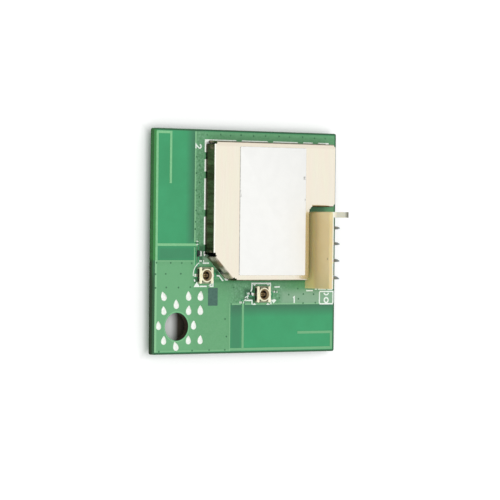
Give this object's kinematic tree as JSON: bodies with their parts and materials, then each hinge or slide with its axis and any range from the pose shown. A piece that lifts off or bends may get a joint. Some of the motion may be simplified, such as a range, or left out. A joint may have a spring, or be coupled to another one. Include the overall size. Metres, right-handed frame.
{
  "type": "wifi module",
  "caption": "Small wireless network board with two printed antennas, a folded shield can with a blank label, two coaxial test sockets and an upright four-way header.",
  "frame": {"origin": "centre of the board's back face", "axes": "+Z out of the component side, +Y towards the long printed antenna's folded end, +X towards the header"},
  "size_m": [0.0356, 0.0356, 0.0094],
  "materials": {
    "laminate": "green lacquer over glass laminate",
    "copper": "green lacquer over copper",
    "antenna_copper": "green lacquer over copper strip",
    "tin": "bright tin",
    "solder": "solder",
    "can_metal": "tinned sheet, fine grain",
    "label_film": "blank white label",
    "nylon": "natural nylon",
    "pin_metal": "tinned pin",
    "resin": "dark resin",
    "gold": "gold flash",
    "package": "moulded black epoxy",
    "crystal_metal": "metal lid",
    "ferrite": "ferrite",
    "ceramic": "fired ceramic with tinned ends",
    "dark_ceramic": "dark glazed ceramic with tinned ends"
  },
  "bodies": {
    "root": {"circuit_board": "laminate", "ground_copper": "copper", "rf_lines": "copper", "left_antenna": "antenna_copper", "lower_antenna": "antenna_copper", "solder_dots": "tin", "shield_pads": "tin", "shield_solder": "solder", "header_joint_1": "solder", "header_joint_2": "solder", "header_joint_3": "solder", "header_joint_4": "solder", "shield_can": "can_metal", "label": "label_film", "header_housing": "nylon", "header_pin_1": "pin_metal", "header_pin_2": "pin_metal", "header_pin_3": "pin_metal", "header_pin_4": "pin_metal", "left_socket_base": "resin", "lower_socket_base": "resin", "left_socket_shell": "gold", "lower_socket_shell": "gold", "left_socket_contact": "gold", "lower_socket_contact": "gold", "left_socket_spring": "gold", "lower_socket_spring": "gold", "radio_chip": "package", "memory_chip": "package", "regulator": "package", "left_front_end": "package", "lower_front_end": "package", "crystal": "crystal_metal", "power_coil": "ferrite", "left_match_1": "ceramic", "left_match_3": "ceramic", "left_match_4": "ceramic", "lower_match_1": "ceramic", "lower_match_2": "ceramic", "lower_match_4": "ceramic", "capacitor_1": "ceramic", "capacitor_2": "ceramic", "capacitor_3": "ceramic", "capacitor_4": "ceramic", "capacitor_5": "ceramic", "capacitor_6": "ceramic", "capacitor_7": "ceramic", "capacitor_8": "ceramic", "left_match_2": "dark_ceramic", "lower_match_3": "dark_ceramic", "resistor_1": "dark_ceramic", "resistor_2": "dark_ceramic", "resistor_3": "dark_ceramic", "resistor_4": "dark_ceramic"}
  },
  "joints": []
}
